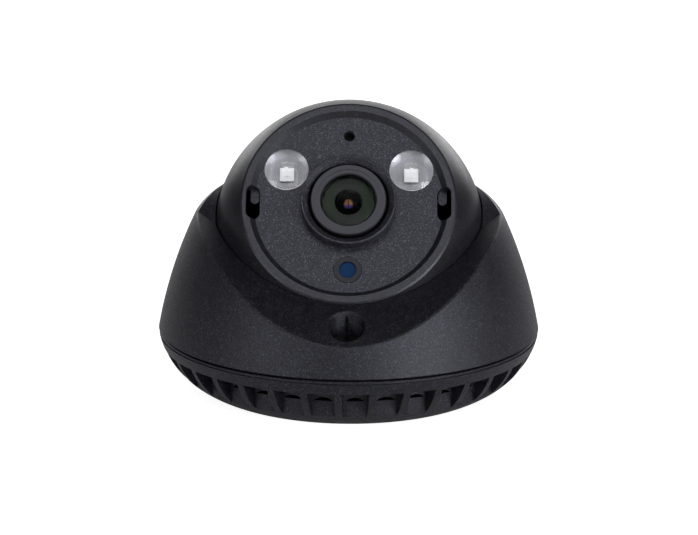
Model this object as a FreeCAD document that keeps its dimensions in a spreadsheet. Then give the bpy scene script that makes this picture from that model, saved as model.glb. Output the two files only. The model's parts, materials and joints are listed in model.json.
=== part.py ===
import FreeCAD, Part
import os
import re
import Sketcher
from FreeCAD import Placement, Rotation, Vector

# A ball-in-socket dome camera that stands on its ribbed base.
# Frame: origin at the centre of the base's foot, +Z up through the ball, lens side towards -Y.
# The ball and all it holds are drawn in the lens frame: origin at the ball's centre, +Z out
# along the lens, +Y up the face. Sizes are in millimetres and degrees.

SIZES = {
    # mounting base: a bowl whose outer wall is one arc
    "bowl_centre_rad": 28.8, "bowl_centre_height": 17.18, "bowl_arc": 18.59, "bowl_height": 13.7,
    "base_floor": 2.2, "base_bore_rad": 11.0, "mount_rad": 30.0, "mount_hole_rad": 2.25,
    "low_band": 3.5, "high_band": 10.3, "panel_rad": 41.35, "panel_top": 7.35, "panel_wall": 1.95,
    "rib_count": 36, "rib_width": 1.7, "rib_inset": 0.05, "base_twist": -2.2,
    "arch_width": 4.6, "arch_rise": 0.85, "arch_wall": 1.2,
    "lip_height": 0.75, "lip_groove": 0.22, "lip_groove_depth": 0.4, "lip_inset": 0.15, "lip_ease": 0.15,
    "ring_bore_rad": 36.6, "collar_rad": 43.9, "collar_wall": 1.5, "collar_top": 16.0,
    "bush_bore_rad": 9.0, "bush_flange_rad": 12.6, "bush_top": 2.9,
    # dome cover: an arc of revolution scooped by the inside of a torus
    "seam_gap": 0.45, "seam_ease": 0.2, "cover_rad": 47.05, "dome_arc": 113.0, "cover_wall": 2.2,
    "crest_rad": 37.8, "crest_height": 42.4, "crown_rad": 31.4, "crown_height": 48.2, "crown_arc": 16.0,
    "crown_wall_low": 1.8, "crown_wall_high": 3.6, "socket_gap": 0.3,
    "scoop_forward": 10.7, "scoop_height": 36.7, "scoop_ring": 110.7, "scoop_tube": 88.0,
    "shoulder_arc": 29.4, "crest_round": 0.6,
    # lock screw, upright in a pocket low in the scoop
    "lock_rad": 39.05, "pocket_rad": 4.2, "pocket_wall": 1.4, "pocket_floor": 19.4,
    "pocket_floor_wall": 2.6, "mouth_round": 0.5, "slit_width": 0.7, "slit_depth": 1.0, "slit_top": 25.7,
    "insert_rad": 2.2, "lock_shank_rad": 1.5, "lock_head_rad": 3.4, "lock_head_height": 2.2,
    "lock_tip": 14.0, "lock_slot": 0.8,
    # seat that clamps the ball up into the cover
    "seat_rad": 36.0, "seat_wall": 2.0, "seat_top": 18.6, "seat_bottom": 8.5, "hook_reach": 37.5,
    "hook_thick": 1.4, "hook_width": 8.0, "lug_rad": 38.6, "lug_reach": 41.2, "lug_thick": 2.0,
    "lug_width": 9.0, "column_rad": 2.9, "pilot_depth": 6.0, "cable_notch": 16.0,
    "web_outside": 14.4, "web_inside": 11.4, "web_thick": 2.5, "shelf_rad": 26.6, "shelf_bore": 22.4,
    "shelf_floor": 11.1, "shelf_bottom": 9.2,
    "friction_tube": 1.1, "friction_gap": 0.2, "friction_sweep": 300.0,
    "screw_rad": 1.2, "screw_head_rad": 2.3, "screw_head": 1.8, "fit_gap": 0.05,
    # ball
    "ball_rad": 33.3, "ball_height": 36.7, "shell_wall": 2.0, "lens_elevation": 35.0,
    "rim_height": 21.5, "rim_ease": 0.25, "rim_rad": 23.65, "face_rad": 22.4, "parting": -4.0,
    "shell_screw_rad": 27.3, "shell_column_rad": 3.4, "shell_column_top": 13.0,
    "access_rad": 2.4, "shell_head_height": -10.0, "gland_rad": 4.0, "cord_bore_rad": 2.6,
    "gland_bottom": -32.8, "gland_flange": -30.7, "gland_top": -29.2, "gland_lip": 1.4,
    # face plate
    "plate_rad": 24.0, "plate_top": 20.3, "plate_thick": 2.0, "boss_rad": 11.3, "boss_bore": 9.55,
    "boss_top": 23.3, "boss_round": 0.25, "boss_flat": 0.2, "boss_dish": 1.3,
    "lamp_across": 14.9, "lamp_up": 8.75, "lamp_rad": 5.2,
    "cell_down": 16.7, "cell_rad": 2.0, "cell_collar_rad": 3.25, "mic_up": 17.5, "mic_hole_rad": 1.35,
    "slot_across": 22.65, "slot_width": 3.3, "slot_length": 8.4, "slot_floor": 17.6,
    "hook_across": 22.3, "hook_tongue": 2.0, "hook_low": 1.3, "hook_high": 5.0, "hook_depth": 1.3,
    "lamp_dome": 1.5, "lamp_seat": 17.1, "lamp_flange": 0.8, "lamp_hollow_rad": 3.4, "lamp_hollow": 0.8,
    "cup_rad": 5.9, "cup_mouth_rad": 5.6, "cup_floor_rad": 2.4, "cup_floor": 0.15,
    "emitter_side": 3.0, "emitter_thick": 0.6, "chip_share": 0.35, "chip_thick": 0.15, "lamp_ledge": 1.1,
    # lens
    "head_rad": 9.0, "head_top": 23.1, "head_step_rad": 7.65, "head_ease": 0.25, "glass_rad": 6.5,
    "glass_edge": 22.3, "glass_back": 20.7, "glass_bulge": 0.85, "glass_hollow_rad": 3.1,
    "glass_hollow": 0.5, "barrel_bore": 5.9, "barrel_rad": 8.4, "glass_bore": 7.45,
    "thread_rad": 6.0, "aperture_rad": 1.3, "inner_cell_rad": 3.1, "cell_floor": 19.7, "cell_lip": 0.3,
    "lens_bottom": -1.0, "rear_bore": 4.4, "thread_top": 12.0, "neck_bottom": 12.6, "neck_rad": 7.2,
    "neck_top": 16.6, "head_bottom": 18.8, "bore_step": 9.0, "cell_bottom": 13.2, "second_back": 15.0,
    "second_bulge": 0.85, "middle_rad": 5.8, "middle_back": 9.1, "middle_front": 13.1,
    "rear_back": 1.0, "rear_front": 4.0, "nut_bottom": 7.0, "nut_top": 9.2, "nut_rad": 8.0,
    "holder_side": 16.0, "holder_base": 5.0, "holder_ears": 26.0, "ear_width": 5.0, "ear_thick": 2.0,
    "holder_neck": 7.6, "holder_top": 7.0, "ear_screws": 11.0, "light_bore": 4.0, "filter_side": 8.2,
    # boards
    "board_side": 38.0, "board_pitch": 34.0, "board_top": -7.4, "board_thick": 1.6,
    "post_rad": 2.4, "board_screw_rad": 0.8, "board_head_rad": 1.8, "board_head": 1.2,
    "lamp_board_rad": 20.5, "lamp_board_bore": 9.0, "lamp_board_top": 16.0, "lamp_post_rad": 17.0,
}

doc = FreeCAD.newDocument("DomeCamera")
sheet = doc.addObject("Spreadsheet::Sheet", "Sizes")
for row, (alias, size) in enumerate(SIZES.items(), start=1):
    sheet.set(f"A{row}", alias)
    sheet.set(f"B{row}", str(size))
    sheet.setAlias(f"B{row}", alias)
doc.recompute()

WORDS = re.compile(r"[A-Za-z_]+")
parts = {}


def full(words):
    """Turn 'ball_rad - 2' into the sheet's own expression."""
    return WORDS.sub(lambda word: "Sizes." + word[0] if word[0] in SIZES else word[0], str(words))


def size_of(words):
    answer = sheet.evalExpression(full(words))
    return float(getattr(answer, "Value", answer))


def bind(thing, name, words):
    thing.setExpression(name, full(words))


# ---- sketch and feature helpers -------------------------------------------------------------

def sketch_on(body, role, height=None):
    """A sketch on one of the body's own planes, raised by height along the plane's normal."""
    sketch = body.newObject("Sketcher::SketchObject", body.Label + "_sketch")
    plane = next(item for item in body.Origin.OriginFeatures if item.Role == role)
    sketch.AttachmentSupport = (plane, [""])
    sketch.MapMode = "FlatFace"
    if height is not None:
        bind(sketch, "AttachmentOffset.Base.z", height)
    return sketch


def pin(sketch, edge, end, across, up):
    """Hold one end (1 start, 2 end, 3 centre) of an edge at the place that two expressions give."""
    for kind, axis, words in (("DistanceX", -2, across), ("DistanceY", -1, up)):
        place = size_of(words)
        if abs(place) < 1e-9:
            sketch.addConstraint(Sketcher.Constraint("PointOnObject", edge, end, axis))
        else:
            index = sketch.addConstraint(Sketcher.Constraint(kind, -1, 1, edge, end, place))
            sketch.setExpression(f"Constraints[{index}]", full(words))


def arc_between(start, stop, radius):
    """The short arc from start to stop: anticlockwise for a positive radius, else clockwise."""
    chord = stop - start
    reach = (radius ** 2 - (chord.Length / 2) ** 2) ** 0.5
    side = Vector(-chord.y, chord.x, 0).normalize() * (1 if radius > 0 else -1)
    top = (start + stop) * 0.5 - side * (abs(radius) - reach)
    return Part.Arc(start, top, stop)


def outline(sketch, corners):
    """A closed outline. A corner is (across, up), with a third item, a radius, if the edge that
    leaves it is an arc."""
    spots = [Vector(size_of(corner[0]), size_of(corner[1]), 0) for corner in corners]
    ends = []
    for number, corner in enumerate(corners):
        start, stop = spots[number], spots[(number + 1) % len(spots)]
        if len(corner) == 3:
            radius = size_of(corner[2])
            edge = sketch.addGeometry(arc_between(start, stop, radius), False)
            index = sketch.addConstraint(Sketcher.Constraint("Radius", edge, abs(radius)))
            sketch.setExpression(f"Constraints[{index}]", f"abs({full(corner[2])})")
            ends.append((edge, 1, 2) if radius > 0 else (edge, 2, 1))
        else:
            edge = sketch.addGeometry(Part.LineSegment(start, stop), False)
            ends.append((edge, 1, 2))
    for number, (edge, first, last) in enumerate(ends):
        after, after_first, _ = ends[(number + 1) % len(ends)]
        sketch.addConstraint(Sketcher.Constraint("Coincident", edge, last, after, after_first))
    for (edge, first, _), corner in zip(ends, corners):
        pin(sketch, edge, first, corner[0], corner[1])


def circles(*spots):
    """Circles for a sketch: each spot is (across, up, radius)."""
    def draw(sketch):
        for across, up, radius in spots:
            centre = Vector(size_of(across), size_of(up), 0)
            edge = sketch.addGeometry(Part.Circle(centre, Vector(0, 0, 1), size_of(radius)), False)
            index = sketch.addConstraint(Sketcher.Constraint("Radius", edge, size_of(radius)))
            sketch.setExpression(f"Constraints[{index}]", full(radius))
            pin(sketch, edge, 3, across, up)
    return draw


def boxes(*spots):
    """Upright rectangles for a sketch: each spot is (centre across, centre up, width, height)."""
    def draw(sketch):
        for across, up, width, height in spots:
            left, right = f"{across} - ({width}) / 2", f"{across} + ({width}) / 2"
            low, high = f"{up} - ({height}) / 2", f"{up} + ({height}) / 2"
            outline(sketch, [(left, low), (right, low), (right, high), (left, high)])
    return draw


def new_body(name, in_ball=False, across="0", up="0"):
    body = doc.addObject("PartDesign::Body", name)
    body.Label = name
    if in_ball:
        aim(body, across, up)
    return body


def aim(thing, across, up):
    """Carry a piece drawn about the lens axis into the ball, across and up the face from that axis."""
    lean = "(90 deg - lens_elevation * 1 deg)"
    thing.Placement = Placement(Vector(0, 0, 0), Rotation(Vector(1, 0, 0), 1))
    bind(thing, "Placement.Base.x", f"{across} * 1 mm")
    bind(thing, "Placement.Base.y", f"{up} * cos({lean}) * 1 mm")
    bind(thing, "Placement.Base.z", f"(ball_height + {up} * sin({lean})) * 1 mm")
    bind(thing, "Placement.Rotation.Angle", lean)


def turn(body, corners, kind="PartDesign::Revolution"):
    """Turn an outline about the body's own Z axis: add it, or cut it with a Groove."""
    sketch = sketch_on(body, "XZ_Plane")
    outline(sketch, corners)
    feature = body.newObject(kind, body.Label + "_turn")
    feature.Profile = sketch
    feature.ReferenceAxis = (sketch, ["V_Axis"])
    feature.Angle = 360
    return feature


def pad(body, draw, bottom, height):
    sketch = sketch_on(body, "XY_Plane", bottom)
    draw(sketch)
    feature = body.newObject("PartDesign::Pad", body.Label + "_pad")
    feature.Profile = sketch
    bind(feature, "Length", height)
    return feature


def pocket(body, draw, top, depth):
    """Cut downwards from the height top."""
    sketch = sketch_on(body, "XY_Plane", top)
    draw(sketch)
    feature = body.newObject("PartDesign::Pocket", body.Label + "_pocket")
    feature.Profile = sketch
    bind(feature, "Length", depth)
    return feature


def repeat(body, features, count):
    """Repeat features round the body's own Z axis."""
    pattern = body.newObject("PartDesign::PolarPattern", body.Label + "_pattern")
    pattern.Originals = features
    axis = next(item for item in body.Origin.OriginFeatures if item.Role == "Z_Axis")
    pattern.Axis = (axis, [""])
    pattern.Angle = 360
    bind(pattern, "Occurrences", count)
    body.Tip = pattern
    return pattern


def keep(body):
    parts[body.Label] = body
    return body


def turned(name, corners, in_ball=False, across="0", up="0"):
    body = new_body(name, in_ball, across, up)
    turn(body, corners)
    return keep(body)


def screws(name, spots, shank_rad, head_rad, seat, head, length, in_ball=False, head_up=True):
    """Identical screws as one group of solids. seat is the height of the face under the heads."""
    body = new_body(name, in_ball)
    shanks = circles(*[(across, up, shank_rad) for across, up in spots])
    heads = circles(*[(across, up, head_rad) for across, up in spots])
    arms = [(across, up, f"1.3 * {head_rad}", f"0.3 * {head_rad}") for across, up in spots]
    posts = [(across, up, f"0.3 * {head_rad}", f"1.3 * {head_rad}") for across, up in spots]
    if head_up:
        pad(body, shanks, f"{seat} - ({length})", length)
        pad(body, heads, seat, head)
        recess_top = f"{seat} + {head}"
    else:
        pad(body, shanks, seat, length)
        pad(body, heads, f"{seat} - ({head})", head)
        recess_top = f"{seat} - ({head}) / 2"
    pocket(body, boxes(*arms), recess_top, f"({head}) / 2")
    pocket(body, boxes(*posts), recess_top, f"({head}) / 2")
    return keep(body)


def round_spots(radius, angles):
    """Places on a circle, as pairs of expressions."""
    return [(f"{radius} * cos({angle} deg)", f"{radius} * sin({angle} deg)") for angle in angles]


# ---- base -----------------------------------------------------------------------------------

def bowl(height, inset="0"):
    """The bowl's outer radius at a height."""
    return f"bowl_centre_rad - {inset} + sqrt(bowl_arc ^ 2 - (bowl_centre_height - {height}) ^ 2)"


def mounting_base():
    body = new_body("mounting_base")
    panel_bore = "(panel_rad - panel_wall)"
    turn(body, [
        ("base_bore_rad", "0"), (bowl("0"), "0", "bowl_arc"), ("panel_rad", "low_band"),
        ("panel_rad", "panel_top"), (panel_bore, "panel_top"), (f"{panel_bore} - 0.8", "base_floor + 2.8"),
        (f"{panel_bore} - 3.9", "base_floor"), ("base_bore_rad", "base_floor"),
    ])
    sketch = sketch_on(body, "XZ_Plane")
    low, high = "(low_band - 0.2)", "(high_band + 0.2)"
    outline(sketch, [
        (f"{panel_bore} + 0.5", low), (bowl(low, "rib_inset"), low, "bowl_arc"),
        (bowl(high, "rib_inset"), high), (f"{panel_bore} + 0.5", high),
    ])
    rib = body.newObject("PartDesign::Pad", "rib")
    rib.Profile = sketch
    rib.Midplane = True
    bind(rib, "Length", "rib_width")
    repeat(body, [rib], "rib_count")
    turn(body, [
        ("panel_rad - arch_wall", "panel_top"), ("panel_rad", "panel_top"), ("panel_rad", "high_band"),
        ("panel_rad - arch_wall", "high_band"),
    ])
    arch = sketch_on(body, "YZ_Plane")
    arch.AttachmentOffset = Placement(Vector(0, 0, 0), Rotation(Vector(0, 1, 0), 1))
    bind(arch, "AttachmentOffset.Rotation.Angle", "180 deg / rib_count")
    outline(arch, [
        ("-arch_width / 2", "panel_top"),
        ("arch_width / 2", "panel_top", cap_radius("arch_width / 2", "arch_rise")),
    ])
    vent = body.newObject("PartDesign::Pocket", "vent")
    vent.Profile = arch
    vent.Reversed = True
    bind(vent, "Length", "panel_rad + 1")
    repeat(body, [vent], "rib_count")
    lip = "(bowl_height - lip_height)"
    lip_rad = f"({bowl(lip)} - lip_inset)"
    turn(body, [
        ("ring_bore_rad", "high_band"), (bowl("high_band"), "high_band", "bowl_arc"),
        (bowl(lip), lip), (f"{bowl(lip)} - lip_groove_depth", lip),
        (f"{bowl(lip)} - lip_groove_depth", f"{lip} + lip_groove"), (lip_rad, f"{lip} + lip_groove"),
        (lip_rad, "bowl_height - lip_ease"), (f"{lip_rad} - lip_ease", "bowl_height"),
        ("collar_rad", "bowl_height"), ("collar_rad", "collar_top"),
        ("collar_rad - collar_wall", "collar_top"), ("collar_rad - collar_wall", "bowl_height"),
        ("ring_bore_rad", "bowl_height"),
    ])
    spots = round_spots("mount_rad", (30, 150, 270))
    pocket(body, circles(*[(*spot, "mount_hole_rad") for spot in spots]), "base_floor", "base_floor")
    body.Placement = Placement(Vector(0, 0, 0), Rotation(Vector(0, 0, 1), 1))
    bind(body, "Placement.Rotation.Angle", "base_twist * 1 deg")
    return keep(body)


def cable_bush():
    turned("cable_bush", [
        ("bush_bore_rad", "0.2"), ("base_bore_rad - fit_gap", "0.2"),
        ("base_bore_rad - fit_gap", "base_floor"), ("bush_flange_rad", "base_floor"),
        ("bush_flange_rad", "bush_top"), ("bush_bore_rad", "bush_top"),
    ])


# ---- dome cover -----------------------------------------------------------------------------

def cylinder(name, radius, bottom, top, across="0", forward="0"):
    solid = doc.addObject("Part::Cylinder", name)
    bind(solid, "Radius", radius)
    bind(solid, "Height", f"({top}) - ({bottom})")
    bind(solid, "Placement.Base.x", across)
    bind(solid, "Placement.Base.y", forward)
    bind(solid, "Placement.Base.z", bottom)
    return solid


def scoop(name, tube):
    """The front half of a torus whose axis runs along X. Its inside cuts the saddle of the scoop."""
    torus = doc.addObject("Part::Torus", name)
    torus.Placement.Rotation = Rotation(Vector(1, 0, 0), 180) * Rotation(Vector(0, 1, 0), 90)
    torus.Angle3 = 180
    bind(torus, "Radius1", "scoop_ring + scoop_tube")
    bind(torus, "Radius2", tube)
    bind(torus, "Placement.Base.y", "scoop_forward")
    bind(torus, "Placement.Base.z", "scoop_height - scoop_ring")
    return torus


def shoulders():
    """A cylinder along X that the scoop leaves standing, so that the crown rolls down into it."""
    roll = doc.addObject("Part::Cylinder", "shoulders")
    roll.Placement.Rotation = Rotation(Vector(0, 1, 0), 90)
    bind(roll, "Radius", "shoulder_arc")
    bind(roll, "Height", "2 * cover_rad")
    bind(roll, "Placement.Base.x", "-cover_rad")
    bind(roll, "Placement.Base.y", "scoop_forward")
    bind(roll, "Placement.Base.z", "crown_height + fit_gap - shoulder_arc")
    return roll


def boolean(kind, name, base, tool):
    result = doc.addObject("Part::" + kind, name)
    result.Base, result.Tool = base, tool
    return result


def fused(name, solids):
    result = doc.addObject("Part::MultiFuse", name)
    result.Shapes = solids
    return result


def dome_cover():
    bottom = "(bowl_height + seam_gap)"
    outer = new_body("cover_outer")
    turn(outer, [
        ("0", bottom), ("cover_rad - seam_ease", bottom), ("cover_rad", f"{bottom} + seam_ease", "dome_arc"),
        ("crest_rad", "crest_height", "crown_arc"), ("crown_rad", "crown_height"), ("0", "crown_height"),
    ])
    inner = new_body("cover_inner")
    turn(inner, [
        ("0", f"{bottom} - 1"), ("cover_rad - cover_wall", f"{bottom} - 1"),
        ("cover_rad - cover_wall", bottom, "dome_arc - cover_wall"),
        ("crest_rad - crown_wall_low", "crest_height - crown_wall_low"),
        ("crown_rad", "crown_height - crown_wall_high"), ("0", "crown_height - crown_wall_high"),
    ])
    front = boolean("Cut", "scoop_front", scoop("scoop_outside", "scoop_tube"), shoulders())
    blank = boolean("Cut", "cover_blank", outer, front)
    hollow = boolean("Cut", "cover_hollow", inner, scoop("scoop_inside", "scoop_tube + cover_wall"))
    finished = rounded("cover_rounded", blank, "crest_round", is_crest)
    shell = boolean("Cut", "cover_shell", finished, hollow)

    spots = round_spots("lug_rad", (90, 210, 330))
    cup_bottom = "(pocket_floor - pocket_floor_wall)"
    lugs = [cylinder("cup", "pocket_rad + pocket_wall", cup_bottom, "crown_height", "0", "-lock_rad")]
    lugs += [cylinder("column", "column_rad", "seat_top", "crown_height", *spot) for spot in spots]
    inside = boolean("Common", "cover_lugs", fused("lug_set", lugs), blank)
    solid = boolean("Fuse", "cover_solid", shell, inside)

    socket = doc.addObject("Part::Sphere", "socket")
    bind(socket, "Radius", "ball_rad + socket_gap")
    bind(socket, "Placement.Base.z", "ball_height")
    slit = doc.addObject("Part::Box", "slit")
    bind(slit, "Length", "slit_width")
    bind(slit, "Width", "slit_depth + 1")
    bind(slit, "Height", "slit_top - pocket_floor")
    bind(slit, "Placement.Base.x", "-slit_width / 2")
    bind(slit, "Placement.Base.y", "-lock_rad + pocket_rad - 1")
    bind(slit, "Placement.Base.z", "pocket_floor")
    holes = [
        socket, slit,
        cylinder("pocket", "pocket_rad", "pocket_floor", "crown_height", "0", "-lock_rad"),
        cylinder("insert_hole", "insert_rad", f"{cup_bottom} - 1", "crown_height", "0", "-lock_rad"),
    ]
    holes += [cylinder("pilot", "screw_rad + fit_gap", "seat_top - 1", "seat_top + pilot_depth", *spot)
              for spot in spots]
    bored = boolean("Cut", "cover_bored", solid, fused("cover_holes", holes))
    return keep(rounded("dome_cover", bored, "mouth_round", is_pocket_mouth))


def rounded(name, base, radius, wanted):
    """Fillet the edges of base that wanted picks."""
    doc.recompute()
    fillet = doc.addObject("Part::Fillet", name)
    fillet.Base = base
    fillet.Edges = [(number, SIZES[radius], SIZES[radius])
                    for number, edge in enumerate(base.Shape.Edges, start=1) if wanted(edge)]
    return fillet


def is_crest(edge):
    """The sharp edge where the dome's outside meets its top and the scoop."""
    middle = edge.valueAt((edge.FirstParameter + edge.LastParameter) / 2)
    lowest = min(vertex.Point.z for vertex in edge.Vertexes)
    from_axis = (middle.x ** 2 + middle.y ** 2) ** 0.5
    return from_axis > SIZES["crest_rad"] - 1 and lowest > SIZES["bowl_height"] + 2


def is_pocket_mouth(edge):
    """The edge where the lock screw's pocket opens in the scoop."""
    middle = edge.valueAt((edge.FirstParameter + edge.LastParameter) / 2)
    spots = [middle] + [vertex.Point for vertex in edge.Vertexes]
    off_wall = [abs((spot.x ** 2 + (spot.y + SIZES["lock_rad"]) ** 2) ** 0.5 - SIZES["pocket_rad"])
                for spot in spots]
    return max(off_wall) < 0.02 and middle.z > SIZES["pocket_floor"] + 1 and edge.Length > 10


# ---- seat and lock --------------------------------------------------------------------------

def ball_seat():
    body = new_body("ball_seat")
    bore = "(seat_rad - seat_wall)"
    turn(body, [
        ("seat_rad", "seat_bottom"), ("seat_rad", "seat_top"), (bore, "seat_top"),
        (bore, "web_outside + web_thick"), ("shelf_rad", "web_inside + web_thick"),
        ("shelf_rad - 1", "web_inside + web_thick - 0.3"), ("shelf_rad - 1", "shelf_floor"),
        ("shelf_bore + 0.9", "shelf_floor"), ("shelf_bore + 0.9", "shelf_floor + 0.9"),
        ("shelf_bore", "shelf_floor + 0.9"), ("shelf_bore", "shelf_bottom"), ("shelf_rad - 0.2", "shelf_bottom"),
        (bore, "web_outside"), (bore, "seat_bottom"),
    ])
    hook = "(hook_reach - seat_rad + 0.5)"
    reach = "(hook_reach - (hook_reach - seat_rad + 0.5) / 2)"
    pad(body, boxes((reach, "0", hook, "hook_width"), (f"-{reach}", "0", hook, "hook_width"),
                    ("0", reach, "hook_width", hook), ("0", f"-{reach}", "hook_width", hook)),
        "seat_bottom", "hook_thick")
    inset_rad = "(seat_rad - 0.5)"
    lug = pad(body, boxes(("0", f"(lug_reach + {inset_rad}) / 2", "lug_width", f"lug_reach - {inset_rad}")),
              "seat_top - lug_thick", "lug_thick")
    repeat(body, [lug], "3")
    spots = round_spots("lug_rad", (90, 210, 330))
    pocket(body, circles(*[(*spot, "screw_rad + 0.2") for spot in spots]), "seat_top", "lug_thick")
    pocket(body, boxes(("0", "shelf_rad - 0.7", "cable_notch", "cable_notch")), "seat_top",
           "seat_top - seat_bottom")
    pocket(body, circles(("0", "-lock_rad", "pocket_rad + pocket_wall + 0.6")), "seat_top",
           "seat_top - (pocket_floor - pocket_floor_wall) + 0.5")
    return keep(body)


def friction_ring():
    """A soft ring that the ball rests on, open at the back for the cord."""
    ring = doc.addObject("Part::Torus", "friction_ring")
    reach = "((ball_rad + friction_gap + friction_tube) * sin(45 deg))"
    bind(ring, "Radius1", reach)
    bind(ring, "Radius2", "friction_tube")
    bind(ring, "Angle3", "friction_sweep * 1 deg")
    bind(ring, "Placement.Base.z", f"ball_height - {reach}")
    ring.Placement.Rotation = Rotation(Vector(0, 0, 1), 1)
    bind(ring, "Placement.Rotation.Angle", "90 deg + (360 - friction_sweep) / 2 * 1 deg")
    return keep(ring)


def lock_insert():
    body = new_body("lock_insert")
    bottom = "(pocket_floor - pocket_floor_wall)"
    pad(body, circles(("0", "-lock_rad", "insert_rad"), ("0", "-lock_rad", "lock_shank_rad + fit_gap")),
        bottom, "pocket_floor_wall")
    return keep(body)


def lock_screw():
    body = new_body("lock_screw")
    pad(body, circles(("0", "-lock_rad", "lock_shank_rad")), "lock_tip", "pocket_floor - lock_tip")
    pad(body, circles(("0", "-lock_rad", "lock_head_rad")), "pocket_floor", "lock_head_height")
    pocket(body, boxes(("0", "-lock_rad", "lock_slot", "2.2 * lock_head_rad")),
           "pocket_floor + lock_head_height", "lock_head_height / 2")
    return keep(body)


# ---- ball shells ----------------------------------------------------------------------------

def on_sphere(radius, height):
    return f"sqrt(({radius}) ^ 2 - ({height}) ^ 2)"


def cap_radius(half_width, rise):
    """The radius of a sphere whose cap is this wide and this high."""
    return f"(({half_width}) ^ 2 + ({rise}) ^ 2) / (2 * ({rise}))"


SHELL_ANGLES = (30, 150, 270)


def ball_front_shell():
    body = new_body("ball_front_shell", in_ball=True)
    inner, groove = "(ball_rad - shell_wall)", "(plate_rad + 0.1)"
    turn(body, [
        (on_sphere("ball_rad", "parting"), "parting", "ball_rad"),
        (on_sphere("ball_rad", "(rim_height - rim_ease)"), "rim_height - rim_ease"),
        (f"{on_sphere('ball_rad', 'rim_height')} - rim_ease", "rim_height"), ("rim_rad", "rim_height"),
        ("face_rad", "plate_top"), (groove, "plate_top"), (groove, on_sphere(inner, groove), f"-{inner}"),
        (on_sphere(inner, "parting"), "parting"),
    ])
    spots = round_spots("shell_screw_rad", SHELL_ANGLES)
    pad(body, circles(*[(*spot, "shell_column_rad - 0.8") for spot in spots]), "parting",
        "shell_column_top - parting")
    pocket(body, circles(*[(*spot, "1") for spot in spots]), "4", "4 - parting")
    cut_slots(body)
    return keep(body)


def ball_rear_shell():
    body = new_body("ball_rear_shell", in_ball=True)
    inner = "(ball_rad - shell_wall)"
    turn(body, [
        ("gland_rad", f"-{on_sphere('ball_rad', 'gland_rad')}", "ball_rad"),
        (on_sphere("ball_rad", "parting"), "parting"),
        (on_sphere(inner, "parting"), "parting", f"-{inner}"),
        ("gland_rad", f"-{on_sphere(inner, 'gland_rad')}"),
    ])
    spots = round_spots("shell_screw_rad", SHELL_ANGLES)
    pad(body, circles(*[(*spot, "shell_column_rad") for spot in spots]), "-20", "parting + 20")
    half = "board_pitch / 2"
    posts = [(f"{across}{half}", f"{up}{half}") for across in ("-", "") for up in ("-", "")]
    pad(body, circles(*[(*spot, "post_rad") for spot in posts]), "-23", "23 + board_top - board_thick")
    turn(body, [
        ("0", "-ball_rad", "ball_rad"), (on_sphere("ball_rad", "parting"), "parting"),
        ("ball_rad + 4", "parting"), ("ball_rad + 4", "-ball_rad - 4"), ("0", "-ball_rad - 4"),
    ], "PartDesign::Groove")
    pocket(body, circles(*[(*spot, "access_rad") for spot in spots]), "shell_head_height",
           "ball_rad + shell_head_height")
    pocket(body, circles(*[(*spot, "1.2") for spot in spots]), "parting", "ball_rad + parting")
    pocket(body, circles(*[(*spot, "board_screw_rad + fit_gap") for spot in posts]),
           "board_top - board_thick", "6")
    return keep(body)


def cable_gland():
    turned("cable_gland", [
        ("cord_bore_rad", "gland_bottom"), ("gland_rad - fit_gap", "gland_bottom"),
        ("gland_rad - fit_gap", "gland_flange"), ("gland_rad + gland_lip", "gland_flange"),
        ("gland_rad + gland_lip", "gland_top"), ("cord_bore_rad", "gland_top"),
    ], in_ball=True)


# ---- face -----------------------------------------------------------------------------------

def cut_slots(body):
    """The two upright round-ended slots, across the joint of the rim and the face plate."""
    straight = "(slot_length - slot_width)"
    depth = "rim_height - slot_floor"
    pocket(body, boxes(("slot_across", "0", "slot_width", straight),
                       ("-slot_across", "0", "slot_width", straight)), "rim_height", depth)
    ends = [(across, f"{up}{straight} / 2", "slot_width / 2")
            for across in ("slot_across", "-slot_across") for up in ("-", "")]
    pocket(body, circles(*ends), "rim_height", depth)


LAMP_SPOTS = (("left", "-lamp_across"), ("right", "lamp_across"))
LAMP_POSTS = (-35, -145, 68, 112)


def face_plate():
    body = new_body("face_plate", in_ball=True)
    bottom = "(plate_top - plate_thick)"
    turn(body, [
        ("boss_bore", bottom), ("plate_rad", bottom), ("plate_rad", "plate_top - 0.6"),
        ("plate_rad - 0.6", "plate_top"), ("boss_rad", "plate_top"),
        ("boss_rad", "boss_top - boss_round", "boss_round"), ("boss_rad - boss_round", "boss_top"),
        ("boss_rad - boss_round - boss_flat", "boss_top"), ("boss_bore", "boss_top - boss_dish"),
    ])
    spots = round_spots("lamp_post_rad", LAMP_POSTS)
    pad(body, circles(*[(*spot, "2") for spot in spots]), "lamp_board_top", f"{bottom} - lamp_board_top")
    pocket(body, circles(*[(*spot, "board_screw_rad + fit_gap") for spot in spots]), f"{bottom} - 0.5",
           f"{bottom} - 0.5 - lamp_board_top")
    holes = [(across, "lamp_up", "lamp_rad + 0.1") for _, across in LAMP_SPOTS]
    holes += [("0", "-cell_down", "cell_collar_rad + 0.1"), ("0", "mic_up", "mic_hole_rad")]
    pocket(body, circles(*holes), "plate_top", "plate_thick")
    cut_slots(body)
    hook_top = "plate_thick - hook_depth"
    hook_middle, hook_length = "(hook_low + hook_high) / 2", "hook_high - hook_low"
    pad(body, boxes(*[(f"{side}hook_across", hook_middle, "hook_tongue", hook_length) for side in ("-", "")]),
        bottom, hook_top)
    pad(body, circles(*[(f"{side}hook_across", "hook_low", "hook_tongue / 2") for side in ("-", "")]),
        bottom, hook_top)
    return keep(body)


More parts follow.
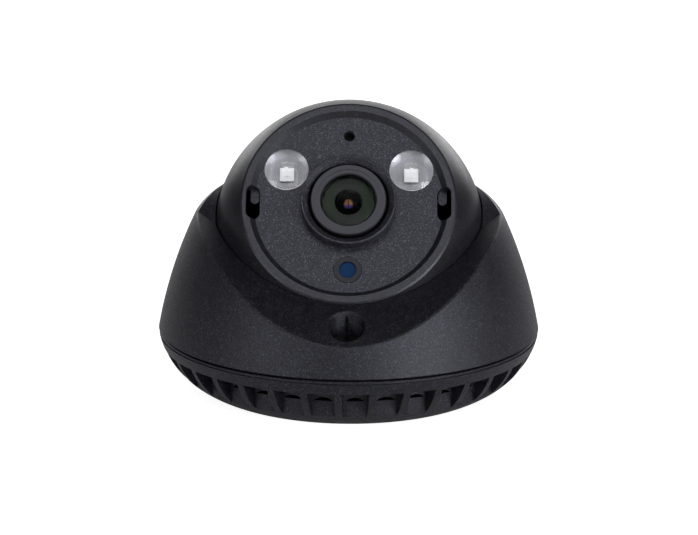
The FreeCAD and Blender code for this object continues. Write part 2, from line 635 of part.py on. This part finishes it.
def lamps():
    rim = "(lamp_rad + lamp_flange)"
    base = "lamp_board_top"
    for side, across in LAMP_SPOTS:
        turned("lamp_lens_" + side, [
            ("0", "lamp_seat + lamp_hollow", f"-{cap_radius('lamp_hollow_rad', 'lamp_hollow')}"),
            ("lamp_hollow_rad", "lamp_seat"), (rim, "lamp_seat"), (rim, "lamp_seat + lamp_ledge"),
            ("lamp_rad", "lamp_seat + lamp_ledge"), ("lamp_rad", "plate_top", cap_radius("lamp_rad", "lamp_dome")),
            ("0", "plate_top + lamp_dome"),
        ], True, across, "lamp_up")
        reflector = turned("lamp_reflector_" + side, [
            ("0", base), ("cup_rad", base), ("cup_rad", "lamp_seat - fit_gap"),
            ("cup_mouth_rad", "lamp_seat - fit_gap"), ("cup_floor_rad", f"{base} + cup_floor"),
            ("0", f"{base} + cup_floor"),
        ], True, across, "lamp_up")
        window = "(emitter_side + 2 * fit_gap)"
        pocket(reflector, boxes(("0", "0", window, window)), f"{base} + cup_floor", "cup_floor")
        emitter = new_body("lamp_emitter_" + side, True, across, "lamp_up")
        pad(emitter, boxes(("0", "0", "emitter_side", "emitter_side")), base, "emitter_thick")
        pad(emitter, boxes(("0", "0", "chip_share * emitter_side", "chip_share * emitter_side")),
            f"{base} + emitter_thick", "chip_thick")
        keep(emitter)


def lamp_board():
    body = new_body("lamp_board", in_ball=True)
    bottom = "lamp_board_top - board_thick"
    pad(body, circles(("0", "0", "lamp_board_rad"), ("0", "0", "lamp_board_bore")), bottom, "board_thick")
    spots = round_spots("lamp_post_rad", LAMP_POSTS)
    pocket(body, circles(*[(*spot, "1") for spot in spots]), "lamp_board_top", "board_thick")
    keep(body)
    screws("lamp_board_screws", spots, "board_screw_rad", "1.6", bottom, "1.2", "board_thick + 1.6",
           in_ball=True, head_up=False)
    socket = new_body("lamp_board_socket", in_ball=True)
    pad(socket, boxes(("0", "-14", "7", "3.4")), f"{bottom} - 3", "3")
    pocket(socket, boxes(("0", "-14", "5.8", "2.2")), f"{bottom} - 0.8", "2.2")
    keep(socket)


def sensors_on_face():
    photocell = new_body("photocell", in_ball=True)
    pad(photocell, circles(("0", "-cell_down", "cell_rad")), "lamp_board_top", "3.9")
    keep(photocell)
    collar = new_body("photocell_collar", in_ball=True)
    pad(collar, circles(("0", "-cell_down", "cell_collar_rad"), ("0", "-cell_down", "cell_rad + fit_gap")),
        "lamp_board_top", "4.4")
    keep(collar)
    mic = new_body("microphone", in_ball=True)
    pad(mic, circles(("0", "mic_up", "2.2")), "lamp_board_top", "1.8")
    keep(mic)
    shield = new_body("light_shield", in_ball=True)
    pad(shield, circles(("0", "0", "11"), ("0", "0", "lamp_board_bore + 0.1")), "lamp_board_top", "2.25")
    keep(shield)


# ---- lens -----------------------------------------------------------------------------------

def lens():
    seat = "(glass_back - fit_gap)"
    turned("lens_barrel", [
        ("rear_bore", "lens_bottom"), ("thread_rad", "lens_bottom"), ("thread_rad", "thread_top"),
        ("neck_rad", "neck_bottom"), ("neck_rad", "neck_top"), ("barrel_rad", "neck_top"),
        ("barrel_rad", "glass_edge - fit_gap"), ("glass_bore", "glass_edge - fit_gap"),
        ("glass_bore", seat), ("barrel_bore", seat), ("barrel_bore", "bore_step"), ("rear_bore", "bore_step"),
    ], in_ball=True)
    turned("lens_head", [
        ("barrel_rad + fit_gap", "head_bottom"), ("head_rad", "head_bottom"), ("head_rad", "head_top - head_ease"),
        ("head_rad - head_ease", "head_top"), ("head_step_rad", "head_top"),
        ("head_step_rad", "head_top - head_ease / 2"), ("glass_rad + head_ease", "head_top - head_ease / 2"),
        ("glass_rad", "head_top - 1.5 * head_ease"), ("glass_rad", "glass_edge"),
        ("barrel_rad + fit_gap", "glass_edge"),
    ], in_ball=True)
    turned("lens_front_glass", [
        ("0", "glass_back + glass_hollow", f"-{cap_radius('glass_hollow_rad', 'glass_hollow')}"),
        ("glass_hollow_rad", "glass_back"), ("glass_bore - fit_gap", "glass_back"),
        ("glass_bore - fit_gap", "glass_edge - 0.1"),
        ("glass_rad - 0.1", "glass_edge - 0.1", cap_radius("glass_rad - 0.1", "glass_bulge")),
        ("0", "glass_edge - 0.1 + glass_bulge"),
    ], in_ball=True)
    turned("lens_inner_cell", [
        ("inner_cell_rad", "cell_bottom"), ("barrel_bore - fit_gap", "cell_bottom"),
        ("barrel_bore - fit_gap", seat), ("inner_cell_rad", seat),
        ("inner_cell_rad - cell_lip", "cell_floor + cell_lip"), ("aperture_rad", "cell_floor"),
        ("aperture_rad", "cell_floor - cell_lip"), ("inner_cell_rad", "cell_floor - cell_lip"),
    ], in_ball=True)
    turned("lens_second_glass", [
        ("0", "second_back"), ("inner_cell_rad - fit_gap", "second_back"),
        ("inner_cell_rad - fit_gap", "cell_floor - cell_lip - fit_gap - second_bulge",
         cap_radius("inner_cell_rad - fit_gap", "second_bulge")),
        ("0", "cell_floor - cell_lip - fit_gap"),
    ], in_ball=True)
    turned("lens_middle_glass", [
        ("0", "middle_back"), ("middle_rad", "middle_back + 1.2"), ("middle_rad", "middle_front - 1.1"),
        ("0", "middle_front"),
    ], in_ball=True)
    turned("lens_rear_glass", [
        ("0", "rear_back"), ("rear_bore - fit_gap", "rear_back + 0.9"),
        ("rear_bore - fit_gap", "rear_front - 0.8"), ("0", "rear_front"),
    ], in_ball=True)
    turned("lens_lock_ring", [
        ("thread_rad + fit_gap", "nut_bottom"), ("nut_rad", "nut_bottom"), ("nut_rad", "nut_top"),
        ("thread_rad + fit_gap", "nut_top"),
    ], in_ball=True)


def lens_holder():
    body = new_body("lens_holder", in_ball=True)
    pad(body, boxes(("0", "0", "holder_side", "holder_side")), "board_top", "holder_base")
    pad(body, boxes(("0", "0", "holder_ears", "ear_width")), "board_top", "ear_thick")
    pad(body, circles(("0", "0", "holder_neck")), "board_top + holder_base",
        "holder_top - holder_base - board_top")
    filter_bottom = "-4"
    pocket(body, circles(("0", "0", "thread_rad + fit_gap")), "holder_top", f"holder_top - {filter_bottom}")
    pocket(body, circles(("0", "0", "light_bore")), filter_bottom, f"{filter_bottom} - board_top")
    pocket(body, boxes(("0", "0", "12.4", "12.4")), "-5.2", "-board_top - 5.2")
    ears = [("-ear_screws", "0"), ("ear_screws", "0")]
    pocket(body, circles(*[(*spot, "1") for spot in ears]), "board_top + ear_thick", "ear_thick")
    keep(body)
    screws("lens_holder_screws", ears, "0.85", "1.7", "board_top + ear_thick", "1.1", "ear_thick + 2",
           in_ball=True)
    cut_filter = new_body("infrared_cut_filter", in_ball=True)
    pad(cut_filter, boxes(("0", "0", "filter_side", "filter_side")), filter_bottom, "0.5")
    keep(cut_filter)


# ---- main board -----------------------------------------------------------------------------

def main_board():
    body = new_body("main_board", in_ball=True)
    bottom = "board_top - board_thick"
    pad(body, boxes(("0", "0", "board_side", "board_side")), bottom, "board_thick")
    half = "board_pitch / 2"
    spots = [(f"{across}{half}", f"{up}{half}") for across in ("-", "") for up in ("-", "")]
    pocket(body, circles(*[(*spot, "1.1") for spot in spots], ("-ear_screws", "0", "0.9"),
                         ("ear_screws", "0", "0.9")),
           "board_top", "board_thick")
    keep(body)
    screws("main_board_screws", spots, "board_screw_rad", "board_head_rad", "board_top", "board_head",
           "board_thick + 4.6", in_ball=True)
    sensor = new_body("image_sensor", in_ball=True)
    pad(sensor, boxes(("0", "0", "8.6", "8")), "board_top", "0.9")
    pad(sensor, boxes(("0", "0", "7", "6.2")), "board_top + 0.9", "0.4")
    keep(sensor)
    chip = new_body("processor", in_ball=True)
    pad(chip, boxes(("0", "2", "12", "12")), f"{bottom} - 1.2", "1.2")
    keep(chip)
    socket = new_body("cable_socket", in_ball=True)
    pad(socket, boxes(("0", "-13", "12", "4.4")), f"{bottom} - 4.6", "4.6")
    pocket(socket, boxes(("0", "-13", "10.6", "3")), f"{bottom} - 1.2", "3.4")
    keep(socket)


mounting_base()
cable_bush()
dome_cover()
ball_seat()
friction_ring()
screws("seat_screws", round_spots("lug_rad", (90, 210, 330)), "screw_rad", "screw_head_rad",
       "seat_top - lug_thick", "screw_head", "lug_thick + 5.4", head_up=False)
lock_insert()
lock_screw()
ball_front_shell()
ball_rear_shell()
screws("shell_screws", round_spots("shell_screw_rad", SHELL_ANGLES), "0.95", "2.2", "shell_head_height",
       "1.8", "13.5", in_ball=True, head_up=False)
cable_gland()
face_plate()
lamps()
lamp_board()
sensors_on_face()
lens()
lens_holder()
main_board()
doc.recompute()

broken = [item.Label for item in doc.Objects if {"Invalid", "Error"} & set(item.State)]
assert not broken, f"failed objects: {broken}"
os.makedirs("parts", exist_ok=True)
for name, part in parts.items():
    shape = part.Shape
    assert not shape.isNull() and shape.isValid() and shape.Solids, name
    shape.exportStep(f"parts/{name}.step")
    print(name, len(shape.Solids), round(shape.Volume, 1))
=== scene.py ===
"""Looks of the dome camera: a finish for every CAD node, and a plain studio with a camera."""

import json
import math

import bpy
from mathutils import Matrix, Vector

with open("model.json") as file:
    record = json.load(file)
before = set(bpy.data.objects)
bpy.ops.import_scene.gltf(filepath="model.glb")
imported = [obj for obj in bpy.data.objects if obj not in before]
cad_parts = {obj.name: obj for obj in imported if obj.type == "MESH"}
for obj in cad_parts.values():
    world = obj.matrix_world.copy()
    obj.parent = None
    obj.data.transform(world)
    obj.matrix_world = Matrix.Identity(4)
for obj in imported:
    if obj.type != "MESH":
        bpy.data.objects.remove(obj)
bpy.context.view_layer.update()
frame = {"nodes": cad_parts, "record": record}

MM = 0.001
WHITE = (1.0, 1.0, 1.0)
# Painted bluish tint on the plastics' reflections, standing in for the colour of the light.
PAINTED_BLUE_GLOSS = (0.86, 0.87, 1.0)

# The ball turns about the tilt joint's place, and at rest its lens looks 35 degrees up.
TILT = next(joint for joint in frame["record"]["behaviour"]["joints"] if joint["name"] == "tilt")
BALL_CENTRE = tuple(TILT["pos_m"])
LENS_LEAN = math.radians(90 - 35)

# Sizes and places on the face, the same as on the CAD part and measured from the lens axis.
CELL_BORE = 3.1 * MM
LAMP_ACROSS = 14.9 * MM
LAMP_UP = 8.75 * MM

# Radii where a finish changes: the cup's darker floor, the satin front of the cell, and the small glass's
# rim, where its painted reflection fades out.
CUP_DARK_FLOOR = 1.9 * MM
CUP_FULL_SILVER = 3.4 * MM
SATIN_START = CELL_BORE + 0.05 * MM
SATIN_END = CELL_BORE + 0.15 * MM
PAINTED_REFLECTION_FULL = 0.75 * MM
PAINTED_REFLECTION_GONE = 1.35 * MM


# ---- nodes ----------------------------------------------------------------------------------


class Nodes:
    """Short names for the shader nodes of one material."""

    def __init__(self, name):
        self.material = bpy.data.materials.new(name)
        self.material.use_nodes = True
        self.tree = self.material.node_tree
        self.shader = self.tree.nodes["Principled BSDF"]
        self.place = self.add("ShaderNodeTexCoord").outputs["Object"]

    def add(self, kind, **settings):
        node = self.tree.nodes.new(kind)
        for name, value in settings.items():
            setattr(node, name, value)
        return node

    def link(self, source, socket):
        self.tree.links.new(source, socket)

    def set(self, **values):
        """Set or link the shader's own sockets, whose spaces are underscores here."""
        for name, value in values.items():
            socket = self.shader.inputs[name.replace("_", " ")]
            if isinstance(value, bpy.types.NodeSocket):
                self.link(value, socket)
            elif isinstance(value, tuple):
                socket.default_value = (*value, 1) if len(socket.default_value) == 4 else value
            else:
                socket.default_value = value

    def noise(self, size, detail=3.0, roughness=0.6, stretch=None):
        """Noise whose blobs are about size metres across."""
        node = self.add("ShaderNodeTexNoise")
        node.inputs["Scale"].default_value = 1 / size
        node.inputs["Detail"].default_value = detail
        node.inputs["Roughness"].default_value = roughness
        self.link(self.stretched(stretch) if stretch else self.place, node.inputs["Vector"])
        return node.outputs["Fac"]

    def stretched(self, scale):
        node = self.add("ShaderNodeMapping")
        node.inputs["Scale"].default_value = scale
        self.link(self.place, node.inputs["Vector"])
        return node.outputs["Vector"]

    def cells(self, size):
        """A random value in each cell, with cells about size metres across."""
        node = self.add("ShaderNodeTexVoronoi")
        node.inputs["Scale"].default_value = 1 / size
        self.link(self.place, node.inputs["Vector"])
        return node.outputs["Color"]

    def face_place(self):
        """Places across and up the face, measured from the lens axis."""
        turned = self.add("ShaderNodeMapping", vector_type="TEXTURE")
        turned.inputs["Location"].default_value = BALL_CENTRE
        turned.inputs["Rotation"].default_value = (LENS_LEAN, 0, 0)
        self.link(self.place, turned.inputs["Vector"])
        parts = self.add("ShaderNodeSeparateXYZ")
        self.link(turned.outputs["Vector"], parts.inputs["Vector"])
        return parts.outputs["X"], parts.outputs["Y"]

    def distance_from(self, source, middle):
        less = self.add("ShaderNodeMath", operation="SUBTRACT")
        self.link(source, less.inputs[0])
        less.inputs[1].default_value = middle
        size = self.add("ShaderNodeMath", operation="ABSOLUTE")
        self.link(less.outputs["Value"], size.inputs[0])
        return size.outputs["Value"]

    def from_axis(self, across=0.0, up=0.0):
        """Distance from the lens axis, or from the nearer of two axes beside it, left and right."""
        sideways, upwards = self.face_place()
        joined = self.add("ShaderNodeCombineXYZ")
        self.link(self.distance_from(self.distance_from(sideways, 0.0), across), joined.inputs["X"])
        self.link(self.distance_from(upwards, up), joined.inputs["Y"])
        size = self.add("ShaderNodeVectorMath", operation="LENGTH")
        self.link(joined.outputs["Vector"], size.inputs[0])
        return size.outputs["Value"]

    def between(self, source, low, high, start=0.3, end=0.7):
        """From low to high as the source goes from start to end, and level past them."""
        node = self.add("ShaderNodeMapRange")
        for name, value in (("From Min", start), ("From Max", end), ("To Min", low), ("To Max", high)):
            node.inputs[name].default_value = value
        self.link(source, node.inputs["Value"])
        return node.outputs["Result"]

    def fade(self, source, start=0.3, end=0.7):
        """From 0 to 1 as the source goes from start to end."""
        return self.between(source, 0, 1, start, end)

    def varied(self, source, middle, reach):
        """A noise's mottling turned into a value that strays from middle by up to reach."""
        return self.between(source, middle - reach, middle + reach)

    def mix(self, factor, first, second):
        """The first colour where the factor is 0 and the second where it is 1."""
        node = self.add("ShaderNodeMix", data_type="RGBA")
        self.link(factor, node.inputs["Factor"])
        for socket, value in ((node.inputs["A"], first), (node.inputs["B"], second)):
            if isinstance(value, tuple):
                socket.default_value = (*value, 1)
            else:
                self.link(value, socket)
        return node.outputs["Result"]

    def bump(self, height, depth, strength, under=None):
        node = self.add("ShaderNodeBump")
        node.inputs["Distance"].default_value = depth
        node.inputs["Strength"].default_value = strength
        self.link(height, node.inputs["Height"])
        if under:
            self.link(under, node.inputs["Normal"])
        return node.outputs["Normal"]


def shade(colour, factor):
    return tuple(channel * factor for channel in colour)


# ---- finishes -------------------------------------------------------------------------------


def textured_plastic(name, colour, roughness, grain, depth, fleck_and_glint):
    """Moulded plastic with a spark-eroded surface: fine pits, cloudy gloss and dense bright flecks, partly
    the grain's own tone and partly painted glints.
    """
    n = Nodes(name)
    tint = n.mix(n.fade(n.noise(14 * MM, 2)), shade(colour, 0.9), shade(colour, 1.1))
    # Bright flecks in the base colour: partly the grain's own tone, partly painted glints.
    tint = n.mix(n.fade(n.cells(grain), 0.52, 0.78), tint, shade(colour, 1 + fleck_and_glint))
    tint = n.mix(n.fade(n.cells(grain * 0.83), 0.8, 0.88), tint, shade(colour, 1 + fleck_and_glint * 4))
    pits = n.bump(n.noise(grain, 3, 0.65), depth, 1.0)
    waves = n.bump(n.noise(6 * MM, 1), depth * 1.5, 0.25, pits)
    n.set(Base_Color=tint, Roughness=n.varied(n.noise(grain * 2, 2), roughness, 0.07), Normal=waves,
          Specular_Tint=PAINTED_BLUE_GLOSS)
    return n.material


def smooth_plastic(name, colour, roughness, gloss=0.5):
    """Plastic, rubber or lacquer with a faint cloudiness and a very fine grain."""
    n = Nodes(name)
    tint = n.mix(n.fade(n.noise(9 * MM, 2)), shade(colour, 0.93), shade(colour, 1.07))
    grain = n.bump(n.noise(0.18 * MM, 2), 0.01 * MM, 0.5)
    n.set(Base_Color=tint, Roughness=n.varied(n.noise(0.5 * MM), roughness, 0.05), Normal=grain,
          Specular_IOR_Level=gloss, Specular_Tint=PAINTED_BLUE_GLOSS)
    return n.material


def metal(name, colour, roughness):
    """Bare or blackened metal with fine level marks."""
    n = Nodes(name)
    marks = n.noise(0.8 * MM, 3, 0.7, stretch=(1, 1, 14))
    n.set(Base_Color=n.mix(n.fade(marks), shade(colour, 0.9), colour), Metallic=1.0,
          Roughness=n.between(marks, roughness - 0.06, roughness + 0.1), Normal=n.bump(marks, 0.01 * MM, 0.3))
    return n.material


def glass(name, colour, tint, roughness=0.0, ior=1.5):
    n = Nodes(name)
    n.set(Base_Color=colour, Roughness=roughness, IOR=ior, Transmission_Weight=1.0, Specular_Tint=tint)
    return n.material


def silvered_cup(name, colour, roughness):
    """Metallised plastic, streaked down its sides and darker round the emitter."""
    n = Nodes(name)
    streaks = n.noise(1.1 * MM, 3, 0.6, stretch=(1, 1, 0.3))
    sides = n.mix(n.fade(streaks), shade(colour, 0.75), colour)
    # Base colour darker on the cup's floor round the emitter.
    off_the_floor = n.fade(n.from_axis(LAMP_ACROSS, LAMP_UP), CUP_DARK_FLOOR, CUP_FULL_SILVER)
    n.set(Base_Color=n.mix(off_the_floor, shade(colour, 0.3), sides), Metallic=0.85,
          Roughness=n.between(streaks, roughness - 0.08, roughness + 0.1),
          Normal=n.bump(streaks, 0.03 * MM, 0.4))
    return n.material


def inner_cell_black(name):
    """Black cell: its flat front is satin with a painted greenish reflection on its left and right, and its
    bore is blackened so that it shows nothing.
    """
    bore = (0.0008, 0.0008, 0.0008)
    front = (0.0085, 0.0085, 0.0095)
    # Painted greenish reflection for the left and right of the satin front.
    front_sides_painted_reflection = (0.006, 0.011, 0.006)
    n = Nodes(name)
    sideways, _ = n.face_place()
    satin = n.fade(n.from_axis(), SATIN_START, SATIN_END)
    # Where the painted greenish reflection lies: left and right of the lens axis, beyond the bore's width.
    painted_reflection_side = n.fade(n.distance_from(sideways, 0.0), CELL_BORE - 0.2 * MM, CELL_BORE + 0.2 * MM)
    n.set(Base_Color=n.mix(satin, bore, n.mix(painted_reflection_side, front, front_sides_painted_reflection)),
          Roughness=n.between(satin, 1.0, 0.45, 0, 1), Normal=n.bump(n.noise(0.3 * MM, 2), 0.01 * MM, 0.3),
          Specular_IOR_Level=0.17, Specular_Tint=n.mix(satin, (0.05, 0.05, 0.05), WHITE))
    return n.material


def painted_reflection_glass(name):
    """The small glass deep in the lens, with its coating's reflection painted on: amber above, violet below,
    a dark middle, and darker towards its rim.
    """
    # Painted reflection colours of the coating, its dark middle, and the darker rim.
    amber_reflection = (0.19, 0.06, 0.015)
    violet_reflection = (0.03, 0.012, 0.15)
    middle = (0.02, 0.01, 0.02)
    rim = (0.004, 0.004, 0.005)
    n = Nodes(name)
    sideways, upwards = n.face_place()
    # Painted reflection: amber above the axis, violet below, and dark in a thin strip down the middle.
    painted_coating_reflection = n.mix(n.fade(upwards, -0.5 * MM, 0.1 * MM), violet_reflection, amber_reflection)
    beside_middle = n.fade(n.distance_from(sideways, 0.0), 0.05 * MM, 0.3 * MM)
    inside_rim = n.between(n.from_axis(), 1, 0, PAINTED_REFLECTION_FULL, PAINTED_REFLECTION_GONE)
    n.set(Base_Color=n.mix(inside_rim, rim, n.mix(beside_middle, middle, painted_coating_reflection)), Roughness=0.2,
          Specular_IOR_Level=0.1)
    return n.material


# One finish for each material slot of the record.
finishes = {
    "housing_black": textured_plastic("housing_black", (0.005, 0.005, 0.007), 0.38, 0.24 * MM, 0.085 * MM, 3),
    "ball_black": textured_plastic("ball_black", (0.009, 0.009, 0.012), 0.36, 0.25 * MM, 0.02 * MM, 1),
    "face_grey": textured_plastic("face_grey", (0.012, 0.012, 0.016), 0.42, 0.22 * MM, 0.045 * MM, 2.4),
    "lens_black": smooth_plastic("lens_black", (0.012, 0.012, 0.015), 0.33),
    "lens_glass": glass("lens_glass", (0.93, 1.0, 0.95), (0.004, 0.006, 0.005)),
    "lamp_clear": glass("lamp_clear", WHITE, WHITE, 0.02, 1.42),
    "lamp_emitter": smooth_plastic("lamp_emitter", (0.76, 0.76, 0.8), 0.45, 0.3),
    "reflector_silver": silvered_cup("reflector_silver", (0.34, 0.34, 0.38), 0.4),
    "sensor_blue": smooth_plastic("sensor_blue", (0.004, 0.03, 0.1), 0.25, 0.05),
    "sensor_collar": smooth_plastic("sensor_collar", (0.012, 0.012, 0.015), 0.4, 0.35),
    "seat_nylon": smooth_plastic("seat_nylon", (0.05, 0.05, 0.052), 0.45),
    "soft_rubber": smooth_plastic("soft_rubber", (0.015, 0.015, 0.015), 0.7),
    "foam_black": smooth_plastic("foam_black", (0.008, 0.008, 0.008), 0.95),
    "steel_screw": metal("steel_screw", (0.6, 0.6, 0.58), 0.3),
    "black_screw": metal("black_screw", (0.05, 0.05, 0.055), 0.38),
    "brass_insert": metal("brass_insert", (0.78, 0.55, 0.24), 0.3),
    "circuit_board": smooth_plastic("circuit_board", (0.01, 0.09, 0.03), 0.35),
    "white_connector": smooth_plastic("white_connector", (0.75, 0.73, 0.66), 0.4),
    "chip_black": smooth_plastic("chip_black", (0.02, 0.02, 0.022), 0.5),
    "filter_red": glass("filter_red", (0.9, 0.3, 0.35), (1, 0.5, 0.6)),
    "mic_can": smooth_plastic("mic_can", (0.01, 0.01, 0.01), 0.9),
}

# These nodes share a slot with others but look different from them.
own_finishes = {
    "lens_inner_cell": inner_cell_black("cell_black"),
    "lens_barrel": smooth_plastic("barrel_black", (0.006, 0.006, 0.006), 0.55, 0.2),
    "lens_second_glass": painted_reflection_glass("second_glass_painted_reflection"),
}

for part in frame["record"]["subparts"]:
    node = frame["nodes"][part["node"]]
    finish = own_finishes.get(part["node"], finishes[part["material_slot"]])
    for number in range(len(node.data.materials)):
        node.data.materials[number] = finish


# ---- studio ---------------------------------------------------------------------------------

LIGHT_DISTANCE = 1.1
LIGHT_TARGET = Vector((0, 0, 0.03))
LIGHTS = (
    # name, degrees round from the lens side, degrees up, width and height in metres, watts
    ("overhead_front", 0, 60, 0.6, 0.6, 2.6),
    ("right_front", 45, 8, 0.6, 0.3, 4.9),
    ("left_front", -45, 8, 0.6, 0.3, 2.1),
    ("fill_front", 20, 20, 0.6, 0.6, 1.1),
    ("right", 70, 20, 0.6, 0.6, 1.0),
    ("left", -70, 20, 0.6, 0.6, 0.3),
    ("back_high", 180, 32, 0.6, 0.6, 1.1),
    ("back_low", 180, 8, 0.6, 0.3, 0.75),
    ("right_back", 135, 32, 0.6, 0.6, 1.1),
    ("left_back", -135, 32, 0.6, 0.6, 1.0),
    ("right_rim", 155, 10, 0.4, 0.3, 1.0),
    ("left_rim", -155, 10, 0.4, 0.3, 0.8),
)

# Angles are in degrees, places in metres, and the camera's sensor and lens in millimetres.
CAMERA_TARGET = Vector((0, 0, 0.02845))
CAMERA_AZIMUTH = 0.7
CAMERA_ELEVATION = 14.51
CAMERA_ROLL = 0.35
CAMERA_DISTANCE = 0.5
CAMERA_SENSOR = 36.0
CAMERA_LENS = 104.2865

FLOOR_REACH = 6.0
FLOOR_GREY = (0.86, 0.86, 0.86)


def around(middle, azimuth, elevation, distance):
    """A place seen from middle at these angles in degrees, where azimuth 0 is the lens side."""
    turn = math.radians(azimuth)
    rise = math.radians(elevation)
    flat = math.cos(rise)
    return middle + distance * Vector((math.sin(turn) * flat, -math.cos(turn) * flat, math.sin(rise)))


def area_light(name, azimuth, elevation, width, height, watts):
    data = bpy.data.lights.new(name, "AREA")
    data.shape = "RECTANGLE"
    data.size = width
    data.size_y = height
    data.energy = watts
    light = bpy.data.objects.new(name, data)
    light.location = around(LIGHT_TARGET, azimuth, elevation, LIGHT_DISTANCE)
    light.rotation_mode = "QUATERNION"
    light.rotation_quaternion = (light.location - LIGHT_TARGET).to_track_quat("Z", "Y")
    bpy.context.scene.collection.objects.link(light)


def floor(name, height, glow):
    mesh = bpy.data.meshes.new(name)
    corners = ((-1, -1), (1, -1), (1, 1), (-1, 1))
    mesh.from_pydata([(x * FLOOR_REACH, y * FLOOR_REACH, height) for x, y in corners], [], [(0, 1, 2, 3)])
    n = Nodes(name)
    n.set(Base_Color=FLOOR_GREY, Roughness=0.9, Emission_Color=WHITE, Emission_Strength=glow)
    mesh.materials.append(n.material)
    plane = bpy.data.objects.new(name, mesh)
    bpy.context.scene.collection.objects.link(plane)
    return plane


def floors():
    """A glowing pale floor that only the camera sees, over one that the camera doesn't see."""
    seen = floor("floor", -0.2 * MM, 0.9)
    seen.visible_diffuse = False
    seen.visible_glossy = False
    seen.visible_transmission = False
    seen.visible_shadow = False
    bounce = floor("bounce_floor", -0.4 * MM, 0.02)
    bounce.visible_camera = False


def camera():
    data = bpy.data.cameras.new("camera")
    data.sensor_width = CAMERA_SENSOR
    data.lens = CAMERA_LENS
    cam = bpy.data.objects.new("camera", data)
    place = around(CAMERA_TARGET, CAMERA_AZIMUTH, CAMERA_ELEVATION, CAMERA_DISTANCE)
    gaze = (CAMERA_TARGET - place).to_track_quat("-Z", "Y").to_matrix().to_4x4()
    cam.matrix_world = Matrix.Translation(place) @ gaze @ Matrix.Rotation(math.radians(CAMERA_ROLL), 4, "Z")
    bpy.context.scene.collection.objects.link(cam)
    bpy.context.scene.camera = cam


def studio():
    """A white surround that neither lights surfaces nor shows in their gloss, with the lights in it."""
    scene = bpy.context.scene
    scene.view_settings.view_transform = "Standard"
    world = bpy.data.worlds.new("studio")
    world.use_nodes = True
    background = world.node_tree.nodes["Background"]
    background.inputs["Color"].default_value = (*WHITE, 1)
    background.inputs["Strength"].default_value = 1.0
    world.cycles_visibility.diffuse = False
    world.cycles_visibility.glossy = False
    scene.world = world
    for light in LIGHTS:
        area_light(*light)


floors()
camera()
studio()
